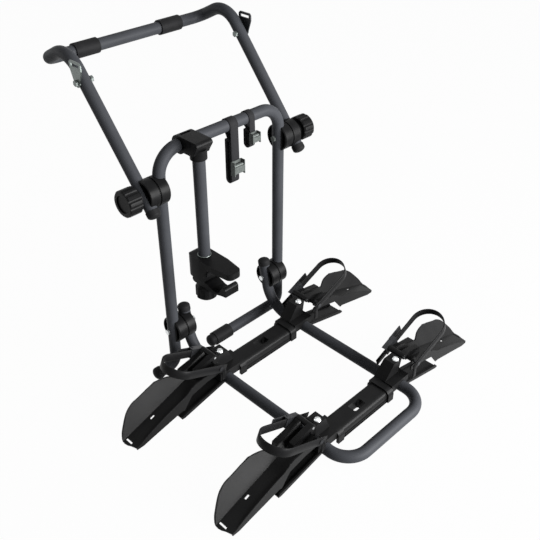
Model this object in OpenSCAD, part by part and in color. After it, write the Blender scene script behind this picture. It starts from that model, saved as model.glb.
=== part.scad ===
// Folding two-tray bike rack that rests on a car's tailgate.
// X runs across the rack, +Y points toward the car, Z is up, and the floor is z = 0.
// The origin is the middle of the footprint. The part is symmetrical about x = 0 unless a size says otherwise.
// Places along Y below are from the main frame's plane, and each sub-part is moved from there to the origin.

/* [Tube] */
// Outside diameter of the bent steel tube
tube_d = 30; // [29:0.5:31]
// Wall thickness of the tube
tube_wall = 2; // [1.5:0.5:3]

/* [Main frame] */
// Distance between the axes of the two uprights
frame_w = 381; // [376:1:386]
// Height of the axis of the top crossbar
crossbar_z = 632; // [620:1:645]
// Height of the axis of the foot tubes
foot_z = 19; // [19:1:21]
// Bend radius at the two top corners
frame_bend_r = 60; // [55:1:62]
// Bend radius at the two feet
foot_bend_r = 30; // [28:1:34]
// How far the left foot reaches outward from the upright's axis
left_foot_reach = 61; // [56:1:66]
// Place along X where the right foot's tube ends, inboard
right_foot_end_x = -66; // [-70:1:-60]

/* [Pivots] */
// Height of the upper pivots, which carry the arch
upper_pivot_z = 544; // [540:1:548]
// Height of the lower pivots, which carry the platform
lower_pivot_z = 132; // [131:1:134]
// Distance from a tube's axis to the plane where the two joint halves meet
joint_t = 22.6; // [22.4:0.1:23]
// Diameter of the joint halves
joint_d = 70; // [66:1:72]
// Diameter of the pivot bolts
bolt_d = 8; // [7.5:0.5:8.5]
// Diameter of the upper hand knobs
knob_d = 64; // [60:1:66]
// Length of the upper hand knobs
knob_l = 43; // [40:1:45]

/* [Arch] */
// Lean of the arch arms toward the car, in degrees from upright
arch_lean = 40; // [38:1:42]
// Straight length of an arm above its pivot
arch_arm_l = 309; // [300:1:312]
// Length of an arm below its pivot
arch_tail_l = 46; // [44:1:48]
// Bend radius of the hooks
hook_r = 68; // [64:1:72]
// Angle through which each hook turns, in degrees
hook_turn = 77; // [74:1:80]
// Straight run between a hook and the corner of the top bar
hook_run = 31; // [30:1:34]
// Bend radius where a hook turns into the top bar
arch_corner_r = 32; // [30:1:34]

/* [Platform] */
// Height of the platform tube's axis
platform_z = 36; // [35:0.5:37]
// Distance from the frame's plane to the axis of the front bar
platform_reach = 560; // [555:1:565]
// Bend radius at the two front corners
platform_corner_r = 60; // [56:1:64]
// Bend radius where the platform turns up to the lower pivots
platform_rise_r = 84; // [82:1:86]
// Lean of the platform's upturned ends toward the car, in degrees
stub_lean = 11; // [10:1:12]
// Length of an upturned end above its pivot
stub_l = 44; // [42:1:46]

/* [Holding arm] */
// Place of the holding arm along X
arm_x = -108; // [-112:1:-104]
// Distance of the arm's tube in front of the crossbar's axis
arm_reach = 43; // [42:1:45]
// Height of the lower end of the arm's tube
arm_bottom_z = 344; // [340:1:350]
// Height of the clamp's flat top
clamp_top_z = 346; // [344:1:350]
// Radius of the clamp's throat
throat_r = 30; // [28:1:31]
// Diameter of the clamp's knob
clamp_knob_d = 55; // [50:1:58]

/* [Webbing] */
// Width of the webbing
web_w = 25; // [24:0.5:26]
// Thickness of the webbing
web_t = 2; // [1.6:0.2:2.2]

/* [Trays] */
// Distance from the frame's plane to the centreline of the near tray
tray_y = -127; // [-129:1:-126]
// Distance between the centrelines of the two trays
tray_pitch = 332.7; // [330:0.1:340]
// Width of the tray's centre channel
channel_w = 58; // [54:1:60]
// Height of the channel's top
channel_top_z = 52; // [50:1:54]
// Height of the channel's bottom edge
channel_bottom_z = 21; // [20:1:23]
// Slope of a wheel scoop, in degrees down toward its tip
scoop_slope = 19; // [18.5:0.5:19.5]
// Thickness of a scoop's walls
scoop_wall = 3; // [2.8:0.1:3.4]

/* [Hidden] */

$fn = 48;

// Colours
steel_grey = [0.27, 0.28, 0.31];
black = [0.08, 0.08, 0.09];
dark_grey = [0.2, 0.2, 0.21];
zinc = [0.6, 0.65, 0.63];
silver = [0.8, 0.81, 0.82];

// Clearances and the overrun of every cut
overrun = 1;
fit = 0.1;
gap = 0.3;

// Tube places
tube_r = tube_d / 2;
bend_swell = 0.03;
bend_lap = 0.8;
frame_x = frame_w / 2;
arch_x = frame_x + 2 * joint_t;
platform_x = frame_x - 2 * joint_t;
foot_end_left = -frame_x - left_foot_reach;

// Routes of the three bent tubes
frame_route = [
    [foot_end_left, 0, foot_z], [-frame_x, 0, foot_z], [-frame_x, 0, crossbar_z],
    [frame_x, 0, crossbar_z], [frame_x, 0, foot_z], [right_foot_end_x, 0, foot_z]
];
frame_radii = [foot_bend_r, frame_bend_r, frame_bend_r, foot_bend_r];

// In the YZ plane, along an arm, through its hook and down to the top bar
function lean(a) = [sin(a), cos(a)];
arch_pivot = [0, upper_pivot_z];
arch_foot = arch_pivot - lean(arch_lean) * arch_tail_l;
hook_setback = hook_r * tan(hook_turn / 2);
hook_corner = arch_pivot + lean(arch_lean) * (arch_arm_l + hook_setback);
arch_bar = hook_corner + lean(arch_lean + hook_turn) * (hook_setback + hook_run + arch_corner_r);
function in_plane(x, p) = [x, p[0], p[1]];
arch_route = [
    in_plane(-arch_x, arch_foot), in_plane(-arch_x, hook_corner), in_plane(-arch_x, arch_bar),
    in_plane(arch_x, arch_bar), in_plane(arch_x, hook_corner), in_plane(arch_x, arch_foot)
];
arch_radii = [hook_r, arch_corner_r, arch_corner_r, hook_r];

stub_top = [0, lower_pivot_z] + lean(stub_lean) * stub_l;
stub_foot = [(platform_z - lower_pivot_z) * tan(stub_lean), platform_z];
platform_route = [
    in_plane(-platform_x, stub_top), in_plane(-platform_x, stub_foot),
    [-platform_x, -platform_reach, platform_z], [platform_x, -platform_reach, platform_z],
    in_plane(platform_x, stub_foot), in_plane(platform_x, stub_top)
];
platform_radii = [platform_rise_r, platform_corner_r, platform_corner_r, platform_rise_r];

// End caps and rubber sleeves
cap_wall = 1.5;
cap_over = 8;
cap_body = 3;
cap_dome = 9;
sleeve_l = 56;
sleeve_inset = 8.5;
arch_sleeve_wall = 4;
arch_sleeve_l = 66;
arch_sleeve_x = 127;
arch_sleeve_slit = 6;

// Place of the main frame's plane, so that the footprint is centred, to a tenth of a millimetre
tenth = 0.1;
slit_edge = sqrt(pow(tube_r + arch_sleeve_wall, 2) - pow(arch_sleeve_slit / 2, 2));
centre_y = tenth * round((platform_reach + tube_r - arch_bar[0] - slit_edge) / 2 / tenth);

// Joint halves
hub_r = joint_d / 2 - 4;
rim_back = 2;
saddle_wrap = 5;
joint_chamfer = 1.5;
joint_rim = 4;
pocket_depth = 6;
cradle_wall = 4;
joint_body = joint_t + saddle_wrap;

// Bolts: heads, nuts and washers
head_w = 13;
head_h = 5.5;
nut_h = 6.5;
washer_r = 8.5;
washer_h = 1.5;

// Upper hand knobs
knob_neck_r = 19;
knob_neck_l = 7;
knob_chamfer = 3;
knob_lobes = 12;
knob_lobe_r = 6;
knob_lobe_sink = 2.5;
knob_face_r = 21;
knob_face_depth = 3;
knob_insert = 14;
knob_start = arch_x + tube_r + 3 * gap;

// Holding arm bracket
bracket_back_r = 22.5;
bracket_w = 45;
bracket_inner_x = arm_x + 23;
nose_w = 46;
nose_reach = 68;
nose_top_z = crossbar_z + bracket_back_r;
nose_bottom_z = crossbar_z - 14;
nose_slant = 12;
nose_round = 9;
collar_r = 20;
collar_l = 12;
arm_seat_z = nose_bottom_z + 6;
slot_l = 28;
slot_w = 9;
slot_depth = 4;

// Clamp
clamp_w = 54;
clamp_tip_y = -156;
clamp_back_y = 2;
clamp_tip_r = 15;
clamp_socket = 24;
throat_open = 75;
clamp_round = 6;
throat_y = -98;
throat_z = clamp_top_z - 46;
clamp_shank_bottom = clamp_top_z - 62;
clamp_web = 8;
pad_wall = 3;
pad_ribs = 7;
pad_rib_r = 1.8;
jaw_w = 42;
jaw_tip_y = -140;
jaw_back_y = -16;
jaw_h = 16;
jaw_clearance = 4;
jaw_bottom_z = clamp_shank_bottom - jaw_h - jaw_clearance;
jaw_rise = 11;
jaw_pad_h = 24;
jaw_ribs = 4;
jaw_rib_depth = 1.2;
screw_d = 8;
screw_head_h = 5;
screw_top_z = clamp_shank_bottom + 24;
clamp_knob_h = 41;
screw_share = 0.6;
clamp_knob_top_z = jaw_bottom_z - gap;
clamp_knob_lobes = 7;

// Webbing straps on the crossbar
long_x = 26;
short_x = 84;
short_web_w = 18;
long_buckle_z = 545;
short_buckle_z = 600;
long_bundle = [600, 481];
short_bundle = [606, 556];
bundle_w = 22;
bundle_hole_w = 8;
buckle_w = 34;
short_buckle_w = 26;
buckle_h = 36;
short_buckle_h = 27;
buckle_t = 14;
buckle_plate = 2;
web_front = tube_r + fit + web_t;

// Anchor plates on the arch arms
anchor_drop = 27;
anchor_t = 3;
anchor_h = 43;
anchor_top_w = 44;
anchor_eye_r = 11;
anchor_slot_l = 30;
anchor_slot_w = 7;
anchor_slot_rise = 42;
anchor_shoulder = 30;
anchor_at = arch_pivot + lean(arch_lean) * (arch_arm_l - anchor_drop);

// Trays
side_names = [-1, 1];
tray_ys = [tray_y, tray_y - tray_pitch];
channel_wall = 3;
shoulder_r = 12;
window_l = 40;
window_w = 24;
window_round = 5;
window_frame = 3;
lip = 1.5;
lip_h = 4;
ring_out = platform_x - 41.3;
ring_in = ring_out - 20;
channel_end = ring_out;
ring_wall = 5;
ledge_top_z = 60;
ledge_near = -23;
plateau_z = 107;
plateau_in = platform_x - 17.3;
plateau_out = platform_x + 12.7;
bolt_x = platform_x;
dome_r = 9;
dome_h = 7;
base_bottom_z = 19;
hinge_x = plateau_out + 12;
hinge_z = 106;
hinge_r = 8;
pin_r = 3;
leg_tip = hinge_x + 132;
leg_wall = 5;
leg_in_top = 39;
leg_in_bottom = 31;
leg_rim = 9;
leg_near = -31;
leg_far = 20;

// Outline of the housing across the rack: near foot, near edge of the top, far edge and far foot
housing_ys = [-4, -10, 22, 30];

// Scoop trough: places across it, from the tray's centreline, and heights over its floor line
scoop_l = 280;
scoop_start = hinge_x + hinge_r + 3 * gap;
floor_z0 = 97;
floor_near = -31;
floor_far = 14;
far_top = [45, 44];
tip_round = 40;
tip_slot = [22, 5];
tip_slot_x = hinge_x + 267;
hole_side = 12;
hole_x = hinge_x + 190;
near_rail = [-10, 5];
far_rail = [23, 39];
knuckle = [5.3, 22.7];

// Outlines seen from the side, as shares of the scoop's length and of the hinge's height
far_wall_shares = [
    [0.007, 1.075], [0.346, 0.774], [0.393, 0.83], [0.436, 0.858], [0.607, 0.858], [0.732, 0.755],
    [0.875, 0.491], [0.957, 0.226], [1.007, 0]
];
near_wall_shares = [
    [0.014, 0.679], [0.014, 0.792], [0.032, 0.811], [0.182, 0.83], [0.293, 0.811], [0.336, 0.764],
    [0.371, 0.689], [0.429, 0.604], [0.5, 0.547], [0.664, 0.396], [0.821, 0.226], [0.93, 0.085],
    [0.964, 0.038], [0.964, 0], [0.893, 0], [0.789, 0.066], [0.464, 0.255], [0.436, 0.236],
    [0.346, 0.547], [0.164, 0.66]
];
near_rail_shares = [
    [0.021, 0.868], [0, 0.925], [0, 1.075], [0.05, 1.066], [0.229, 0.943], [0.25, 0.66]
];
far_rail_shares = [
    [0.021, 0.868], [0, 0.925], [0, 1.075], [0.057, 0.981], [0.296, 0.868], [0.311, 0.604]
];

// Ratchet straps, in a plane that rises outboard
ratchet_w = 22;
ratchet_t = 2.5;
ratchet_tilt = 23.5;
ratchet_r = 45;
ratchet_run = 120;
ratchet_x = hinge_x - 5;
ratchet_z = 92;
strap_pin_r = 3;
strap_pin_at = 18;
strap_head_r = 6;
tail_l = 38;
hanging_w = 12;
hanging_l = 44;
ratchet_plate = 1.5;
ratchet_cheek = 14;
ratchet_l = 44;
spindle_at = 34;
spindle_r = 5.5;
spindle_rise = 6.5;
lever_l = 44;
lever_w = 20;

// Places in X and Z of an outline given in shares
function scoop_points(shares) = [for (s = shares) [hinge_x + s[0] * scoop_l, s[1] * hinge_z]];

// Moves a sub-part drawn about the main frame's plane to the middle of the footprint
module centred() {
    translate([0, centre_y, 0])
        children();
}

// Unit vector, turn angle and bend setback along a route
function unit(v) = v / norm(v);
function turn(route, i) = acos(unit(route[i] - route[i - 1]) * unit(route[i + 1] - route[i]));
function setback(route, radii, i) =
    (i == 0 || i == len(route) - 1) ? 0 : radii[i - 1] * tan(turn(route, i) / 2);

// Points on an arc in a plane, from one angle to another
function arc(c, r, from, to, steps = 8) =
    [for (i = [0 : steps]) let (a = from + (to - from) * i / steps) c + r * [cos(a), sin(a)]];

// Round bar between two points
module straight_bar(p, q, r) {
    v = q - p;
    translate(p)
        rotate([0, acos(v[2] / norm(v)), atan2(v[1], v[0])])
            cylinder(h = norm(v), r = r);
}

// One bend of a round bar, at corner i of its route
module bend(route, radii, i, r) {
    into = unit(route[i] - route[i - 1]);
    out = unit(route[i + 1] - route[i]);
    toward = unit(out - (out * into) * into);
    normal = cross(into, toward);
    centre = route[i] - into * setback(route, radii, i) + toward * radii[i - 1];
    multmatrix([
        [-toward[0], into[0], normal[0], centre[0]],
        [-toward[1], into[1], normal[1], centre[1]],
        [-toward[2], into[2], normal[2], centre[2]],
        [0, 0, 0, 1]
    ])
        rotate_extrude(angle = turn(route, i))
            translate([radii[i - 1], 0])
                circle(r = r);
}

// Round bar along a route with bent corners, longer by extra at both ends.
// Each bend is a hair thicker than its straights, which reach a little way into it.
module bent_bar(route, radii, r, extra = 0) {
    last = len(route) - 1;
    for (i = [0 : last - 1]) {
        dir = unit(route[i + 1] - route[i]);
        from = i == 0 ? -extra : setback(route, radii, i) - bend_lap;
        to = i == last - 1 ? -extra : setback(route, radii, i + 1) - bend_lap;
        straight_bar(route[i] + dir * from, route[i + 1] - dir * to, r);
    }
    for (i = [1 : last - 1])
        bend(route, radii, i, r + bend_swell);
}

// Hollow tube along a route, with its bolt holes as children
module bent_tube(route, radii) {
    difference() {
        bent_bar(route, radii, tube_r);
        bent_bar(route, radii, tube_r - tube_wall, overrun);
        children();
    }
}

// Round hole or bar along X, centred on x
module across(x, y, z, r, l) {
    translate([x, y, z])
        rotate([0, 90, 0])
            cylinder(h = l, r = r, center = true);
}

// Turns its children from +Z to a direction, at a point
module aimed(at, dir) {
    translate(at)
        rotate([0, acos(dir[2] / norm(dir)), atan2(dir[1], dir[0])])
            children();
}

// Draws its children on the right and, mirrored, on the left
module both_sides() {
    children();
    mirror([1, 0, 0])
        children();
}

// Draws its children once at the tray and side asked for
module tray_side(tray, side) {
    translate([0, tray_ys[tray], 0])
        mirror([side < 0 ? 1 : 0, 0, 0])
            children();
}

// Rubber cap with a round end, over the tube end at a point
module end_cap(at, dir) {
    r = tube_r + cap_wall;
    aimed(at, dir)
        rotate_extrude()
            polygon(concat(
                [[0, fit], [tube_r + fit, fit], [tube_r + fit, -cap_over], [r, -cap_over]],
                [for (i = [0 : 6]) let (a = i * 15) [r * cos(a), cap_body + cap_dome * sin(a)]]
            ));
}

// Main frame

module main_frame_tube() {
    color(steel_grey) centred()
        bent_tube(frame_route, frame_radii) {
            across(0, 0, upper_pivot_z, bolt_d / 2 + fit, 2 * frame_w);
            across(0, 0, lower_pivot_z, bolt_d / 2 + fit, 2 * frame_w);
        }
}

module foot_sleeve() {
    color(dark_grey) centred()
        difference() {
            across(right_foot_end_x + sleeve_inset + sleeve_l / 2, 0, foot_z, foot_z, sleeve_l);
            across(right_foot_end_x + sleeve_inset + sleeve_l / 2, 0, foot_z,
                tube_r + fit, sleeve_l + 2 * overrun);
        }
}

module frame_end_caps() {
    color(black) centred() {
        end_cap(frame_route[0], [-1, 0, 0]);
        end_cap(frame_route[5], [-1, 0, 0]);
    }
}

// Arch

module arch_tube() {
    color(steel_grey) centred()
        bent_tube(arch_route, arch_radii) {
            across(0, 0, upper_pivot_z, bolt_d / 2 + fit, 3 * arch_x);
            across(0, anchor_at[0], anchor_at[1], bolt_d / 2 + fit, 3 * arch_x);
        }
}

// Split rubber sleeve on the top bar, with its slit on the car's side
module arch_sleeve() {
    r = tube_r + arch_sleeve_wall;
    difference() {
        across(arch_sleeve_x, arch_bar[0], arch_bar[1], r, arch_sleeve_l);
        across(arch_sleeve_x, arch_bar[0], arch_bar[1], tube_r + fit, arch_sleeve_l + 2 * overrun);
        translate([arch_sleeve_x, arch_bar[0] + r, arch_bar[1]])
            cube([arch_sleeve_l + 2 * overrun, 2 * r, arch_sleeve_slit], center = true);
    }
}

module arch_sleeves() {
    color(black) centred()
        both_sides()
            arch_sleeve();
}

module arch_end_caps() {
    color(black) centred()
        both_sides()
            end_cap(arch_route[5], -in_plane(0, lean(arch_lean)));
}

// Platform

module platform_tube() {
    color(steel_grey) centred()
        bent_tube(platform_route, platform_radii) {
            across(0, 0, lower_pivot_z, bolt_d / 2 + fit, 2 * frame_w);
            for (y = tray_ys)
                both_sides()
                    translate([bolt_x, y, platform_z - tube_d])
                        cylinder(h = 2 * tube_d, r = bolt_d / 2 + fit);
        }
}

module platform_end_caps() {
    color(black) centred()
        both_sides()
            end_cap(platform_route[5], in_plane(0, lean(stub_lean)));
}

// Joint half on the right, from the joint plane at x toward its tube, which leans in the YZ plane
module joint_half(x, z, toward, tube_lean, room = fit) {
    translate([x, 0, z])
        mirror([toward < 0 ? 1 : 0, 0, 0])
            difference() {
                rotate([0, 90, 0])
                    rotate_extrude()
                        polygon([
                            [0, gap / 2], [hub_r, gap / 2], [hub_r, rim_back], [joint_d / 2, rim_back],
                            [joint_d / 2, joint_body - joint_chamfer],
                            [joint_d / 2 - joint_chamfer, joint_body], [0, joint_body]
                        ]);
                difference() {
                    across(joint_body, 0, 0, joint_d / 2 - joint_rim, 2 * pocket_depth);
                    rotate([-tube_lean, 0, 0])
                        cube([4 * joint_t, tube_d + 2 * cradle_wall, 2 * joint_d], center = true);
                }
                translate([joint_t, 0, 0])
                    rotate([-tube_lean, 0, 0])
                        cylinder(h = 2 * joint_d, r = tube_r + room, center = true);
                across(0, 0, 0, bolt_d / 2 + fit, 4 * joint_t);
            }
}

module upper_joint_frame_halves() {
    color(black) centred()
        both_sides()
            joint_half(frame_x + joint_t, upper_pivot_z, -1, 0);
}

module upper_joint_arch_halves() {
    color(black) centred()
        both_sides()
            joint_half(frame_x + joint_t, upper_pivot_z, 1, arch_lean);
}

module lower_joint_frame_halves() {
    color(black) centred()
        both_sides()
            joint_half(frame_x - joint_t, lower_pivot_z, 1, 0);
}

module lower_joint_platform_halves() {
    color(black) centred()
        both_sides()
            joint_half(frame_x - joint_t, lower_pivot_z, -1, stub_lean, gap);
}

// Hexagon with its flats at the width asked for, along X from a start
module hexagon_x(x, y, z, w, h) {
    translate([x, y, z])
        rotate([0, 90, 0])
            cylinder(h = h, r = w / 2 / cos(30), $fn = 6);
}

module upper_pivot_bolts() {
    inner = frame_x - tube_r;
    end = knob_start + knob_l - knob_insert;
    color(silver) centred()
        both_sides() {
            hexagon_x(inner - head_h, 0, upper_pivot_z, head_w, head_h);
            across((inner + end) / 2, 0, upper_pivot_z, bolt_d / 2, end - inner);
        }
}

// Each lower bolt has its head on the side of -X and its nut on the side of +X
module lower_pivot_bolt(x0, x1) {
    hexagon_x(x0 - head_h - gap, 0, lower_pivot_z, head_w, head_h);
    across((x0 + x1) / 2, 0, lower_pivot_z, bolt_d / 2, x1 - x0 + 2 * gap);
    across(x1 + gap + washer_h / 2, 0, lower_pivot_z, washer_r, washer_h);
    hexagon_x(x1 + gap + washer_h, 0, lower_pivot_z, head_w, nut_h);
}

module lower_pivot_bolts() {
    outer = frame_x + tube_r;
    inner = platform_x - tube_r;
    color(silver) centred() {
        lower_pivot_bolt(-outer, -inner);
        lower_pivot_bolt(inner, outer);
    }
}

// Lobed hand knob on the right upper bolt
module hand_knob() {
    r = knob_d / 2;
    translate([knob_start, 0, upper_pivot_z])
        rotate([0, 90, 0])
            difference() {
                rotate_extrude()
                    polygon([
                        [0, 0], [knob_neck_r, 0], [knob_neck_r, knob_neck_l], [r - knob_chamfer, knob_neck_l],
                        [r, knob_neck_l + knob_chamfer], [r, knob_l - knob_chamfer],
                        [r - knob_chamfer, knob_l], [knob_face_r, knob_l],
                        [knob_face_r, knob_l - knob_face_depth], [0, knob_l - knob_face_depth]
                    ]);
                for (i = [1 : knob_lobes])
                    rotate([0, 0, i * 360 / knob_lobes])
                        translate([r + knob_lobe_r - knob_lobe_sink, 0, knob_neck_l - overrun])
                            cylinder(h = knob_l, r = knob_lobe_r, $fn = 24);
                translate([0, 0, -overrun])
                    cylinder(h = knob_l - knob_insert + 2 * overrun, r = bolt_d / 2 + fit);
            }
}

module knob_right() {
    color(black) centred()
        hand_knob();
}

module knob_left() {
    color(black) centred()
        mirror([1, 0, 0])
            hand_knob();
}

// Holding arm

// Side outline of the bracket's nose, in Y and Z
module nose_outline() {
    polygon(concat(
        [[0, nose_bottom_z], [0, nose_top_z]],
        arc([nose_round - nose_reach, nose_top_z - nose_round], nose_round, 90, 180),
        arc([nose_slant + nose_round - nose_reach, nose_bottom_z + nose_round], nose_round, 190, 270)
    ));
}

module arm_bracket() {
    back_x = bracket_inner_x - bracket_w / 2;
    color(black) centred()
        difference() {
            union() {
                across(back_x, 0, crossbar_z, bracket_back_r, bracket_w);
                translate([arm_x - nose_w / 2, 0, 0])
                    rotate([90, 0, 90])
                        linear_extrude(nose_w)
                            nose_outline();
                translate([arm_x, -arm_reach, nose_bottom_z - collar_l])
                    cylinder(h = 2 * collar_l, r = collar_r);
            }
            across(back_x, 0, crossbar_z, tube_r + gap, 2 * bracket_w);
            translate([arm_x, -arm_reach, nose_bottom_z - collar_l - overrun])
                cylinder(h = arm_seat_z - nose_bottom_z + collar_l + overrun, r = tube_r + fit);
            translate([arm_x - slot_l / 2, -slot_w / 2, nose_top_z - slot_depth])
                cube([slot_l, slot_w, 2 * slot_depth]);
            translate([back_x - bracket_w, 0, crossbar_z - 2 * bracket_back_r])
                cube([2 * bracket_w, 2 * gap, 2 * bracket_back_r]);
        }
}

module arm_tube() {
    h = arm_seat_z - arm_bottom_z + clamp_socket;
    color(steel_grey) centred()
        translate([arm_x, -arm_reach, arm_seat_z - h])
            difference() {
                cylinder(h = h, r = tube_r);
                translate([0, 0, -overrun])
                    cylinder(h = h + 2 * overrun, r = tube_r - tube_wall);
            }
}

// Plan outline of the upper jaw: wide behind the tube, with an egg-shaped tip
module clamp_plan() {
    w = clamp_w / 2;
    tip = w - clamp_tip_r;
    polygon(concat(
        arc([0, clamp_back_y - w], w, 0, 180, 12),
        [[-w, throat_y]],
        arc([-tip / 2, clamp_tip_y + clamp_tip_r], clamp_tip_r, 195, 270),
        arc([tip / 2, clamp_tip_y + clamp_tip_r], clamp_tip_r, 270, 345),
        [[w, throat_y]]
    ));
}

// Side outline of the upper jaw, in Y and Z: flat top, rounded back, hooked nose over the throat
module clamp_side() {
    back = clamp_back_y - 3 * clamp_round;
    front = throat_z + throat_r * sin(throat_open);
    polygon(concat(
        arc([back, clamp_top_z - 3 * clamp_round], 3 * clamp_round, 0, 90, 6),
        [[clamp_tip_y - overrun, clamp_top_z], [clamp_tip_y - overrun, front]],
        arc([throat_y, throat_z], throat_r, 180 - throat_open, 0, 16),
        arc([throat_y + throat_r + clamp_round, clamp_shank_bottom + clamp_round], clamp_round, 180, 270, 4),
        arc([back, clamp_shank_bottom + 3 * clamp_round], 3 * clamp_round, 270, 360, 6)
    ));
}

module clamp_upper_jaw() {
    color(black) centred()
        difference() {
            intersection() {
                translate([arm_x, 0, clamp_shank_bottom])
                    linear_extrude(clamp_top_z - clamp_shank_bottom)
                        clamp_plan();
                translate([arm_x - clamp_w, 0, 0])
                    rotate([90, 0, 90])
                        linear_extrude(2 * clamp_w)
                            clamp_side();
            }
            translate([arm_x, -arm_reach, arm_bottom_z - clamp_socket - fit])
                cylinder(h = 2 * clamp_socket, r = tube_r + fit);
            translate([arm_x, -arm_reach, clamp_shank_bottom - overrun])
                cylinder(h = screw_top_z - clamp_shank_bottom + overrun + gap, r = screw_d / 2 + gap);
            translate([arm_x, -arm_reach, screw_top_z - screw_head_h - gap])
                cylinder(h = screw_head_h + 2 * gap, r = head_w / 2 + gap);
        }
}

// Ribbed rubber liner in the throat
module clamp_pad() {
    r = throat_r - fit;
    color(dark_grey) centred()
        difference() {
            across(arm_x, throat_y, throat_z, r, clamp_w - 2 * clamp_web);
            across(arm_x, throat_y, throat_z, r - pad_wall, 2 * clamp_w);
            translate([arm_x - clamp_w, throat_y - 2 * throat_r, throat_z - 2 * throat_r])
                cube([2 * clamp_w, 4 * throat_r, 2 * throat_r]);
            translate([arm_x - clamp_w, throat_y - 2 * throat_r, throat_z - overrun])
                cube([2 * clamp_w, throat_r * (2 - cos(throat_open)), throat_r * 2]);
            for (i = [1 : pad_ribs])
                across(arm_x,
                    throat_y + (r - pad_wall) * cos((180 - throat_open) * i / (pad_ribs + 1)),
                    throat_z + (r - pad_wall) * sin((180 - throat_open) * i / (pad_ribs + 1)),
                    pad_rib_r, 2 * clamp_w);
        }
}

// Side outline of the lower jaw: a flat foot under the shank and a raised ribbed pad at the tip
module jaw_outline() {
    r = jaw_h / 2;
    top = jaw_bottom_z + jaw_rise + jaw_pad_h;
    pad_y = jaw_tip_y + r;
    polygon(concat(
        arc([jaw_back_y - r, jaw_bottom_z + r], r, -90, 90),
        [[throat_y + throat_r, jaw_bottom_z + jaw_h]],
        arc([throat_y, throat_z], throat_r - pad_wall / 2, -60, -125, 6),
        arc([pad_y, top - r], r, 60, 180, 6),
        [[jaw_tip_y, jaw_bottom_z + jaw_rise], [pad_y + r, jaw_bottom_z + r], [throat_y, jaw_bottom_z]]
    ));
}

module clamp_lower_jaw() {
    color(black) centred()
        difference() {
            translate([arm_x - jaw_w / 2, 0, 0])
                rotate([90, 0, 90])
                    linear_extrude(jaw_w)
                        jaw_outline();
            translate([arm_x, -arm_reach, jaw_bottom_z - overrun])
                cylinder(h = jaw_h + 2 * overrun, r = screw_d / 2 + fit);
            for (i = [1 : jaw_ribs])
                translate([
                    arm_x - jaw_w, jaw_tip_y - overrun,
                    jaw_bottom_z + jaw_rise + i * jaw_pad_h / (jaw_ribs + 2)
                ])
                    cube([2 * jaw_w, overrun + jaw_rib_depth, jaw_rib_depth]);
        }
}

module clamp_screw() {
    bottom = clamp_knob_top_z - clamp_knob_h * screw_share;
    color(silver) centred()
        translate([arm_x, -arm_reach, 0]) {
            translate([0, 0, bottom])
                cylinder(h = screw_top_z - bottom, r = screw_d / 2);
            translate([0, 0, screw_top_z - screw_head_h])
                cylinder(h = screw_head_h, r = head_w / 2);
        }
}

module clamp_knob() {
    r = clamp_knob_d / 2;
    color(black) centred()
        translate([arm_x, -arm_reach, clamp_knob_top_z - clamp_knob_h])
            difference() {
                rotate_extrude()
                    polygon([
                        [0, 0], [r - knob_chamfer, 0], [r, knob_chamfer],
                        [r, clamp_knob_h - 4 * knob_chamfer],
                        [r - knob_chamfer, clamp_knob_h - 3 * knob_chamfer],
                        [clamp_knob_h / 3, clamp_knob_h], [0, clamp_knob_h]
                    ]);
                for (i = [1 : clamp_knob_lobes])
                    rotate([0, 0, i * 360 / clamp_knob_lobes])
                        translate([r + knob_lobe_r, 0, -overrun])
                            cylinder(h = 2 * clamp_knob_h, r = 2 * knob_lobe_r - knob_lobe_sink, $fn = 24);
                translate([0, 0, clamp_knob_h / 4])
                    cylinder(h = clamp_knob_h, r = screw_d / 2 + fit);
            }
}

// Webbing

// Side outline of a strap's leg, from the loop over the crossbar down to the buckle
module strap_leg(buckle_z) {
    leg_y = -web_front - web_t;
    polygon([
        [gap - web_front, crossbar_z], [web_t - web_front - gap, crossbar_z],
        [leg_y + web_t, buckle_z - buckle_h / 2], [leg_y, buckle_z - buckle_h / 2]
    ]);
}

// Folded tail of a strap, hung behind the buckle
module strap_bundle(bundle) {
    r = bundle_w / 2;
    hole = bundle_hole_w / 2;
    hang_z = crossbar_z - sqrt(pow(web_front, 2) - pow(web_front - hole, 2));
    difference() {
        union() {
            polygon(concat(
                arc([-r / 2, bundle[1] + r], r, 180, 360, 12),
                [[r / 2, bundle[0]], [-r - r / 2, bundle[0]]]
            ));
            translate([hole - web_front, bundle[0] - web_t])
                square([web_t, hang_z + web_t - bundle[0]]);
        }
        translate([-r / 2 - hole, bundle[1] + r])
            square([bundle_hole_w, bundle[0] - bundle[1] - 2 * r]);
    }
}

module crossbar_strap(x, w, buckle_z, bundle) {
    difference() {
        across(x, 0, crossbar_z, web_front, w);
        across(x, 0, crossbar_z, web_front - web_t, 2 * w);
    }
    translate([x - w / 2, 0, 0])
        rotate([90, 0, 90]) {
            linear_extrude(w)
                strap_leg(buckle_z);
            linear_extrude(w)
                strap_bundle(bundle);
        }
}

module strap_long() {
    color(black) centred()
        crossbar_strap(long_x, web_w, long_buckle_z, long_bundle);
}

module strap_short() {
    color(black) centred()
        crossbar_strap(short_x, short_web_w, short_buckle_z, short_bundle);
}

// Cam buckle: a back plate, two cheeks and a cross bar, in front of its strap's leg
module cam_buckle(x, z, w, h) {
    y = -web_front - web_t - gap;
    translate([x - w / 2, y - buckle_plate, z - h])
        difference() {
            union() {
                cube([w, buckle_plate, h]);
                for (side = [0, w - buckle_plate])
                    translate([side, buckle_plate - buckle_t, 0])
                        cube([buckle_plate, buckle_t, h]);
            }
            translate([-overrun, buckle_plate - buckle_t / 2, h * 2 / 3])
                rotate([0, 90, 0])
                    cylinder(h = w + 2 * overrun, r = pin_r + fit);
        }
}

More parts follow.
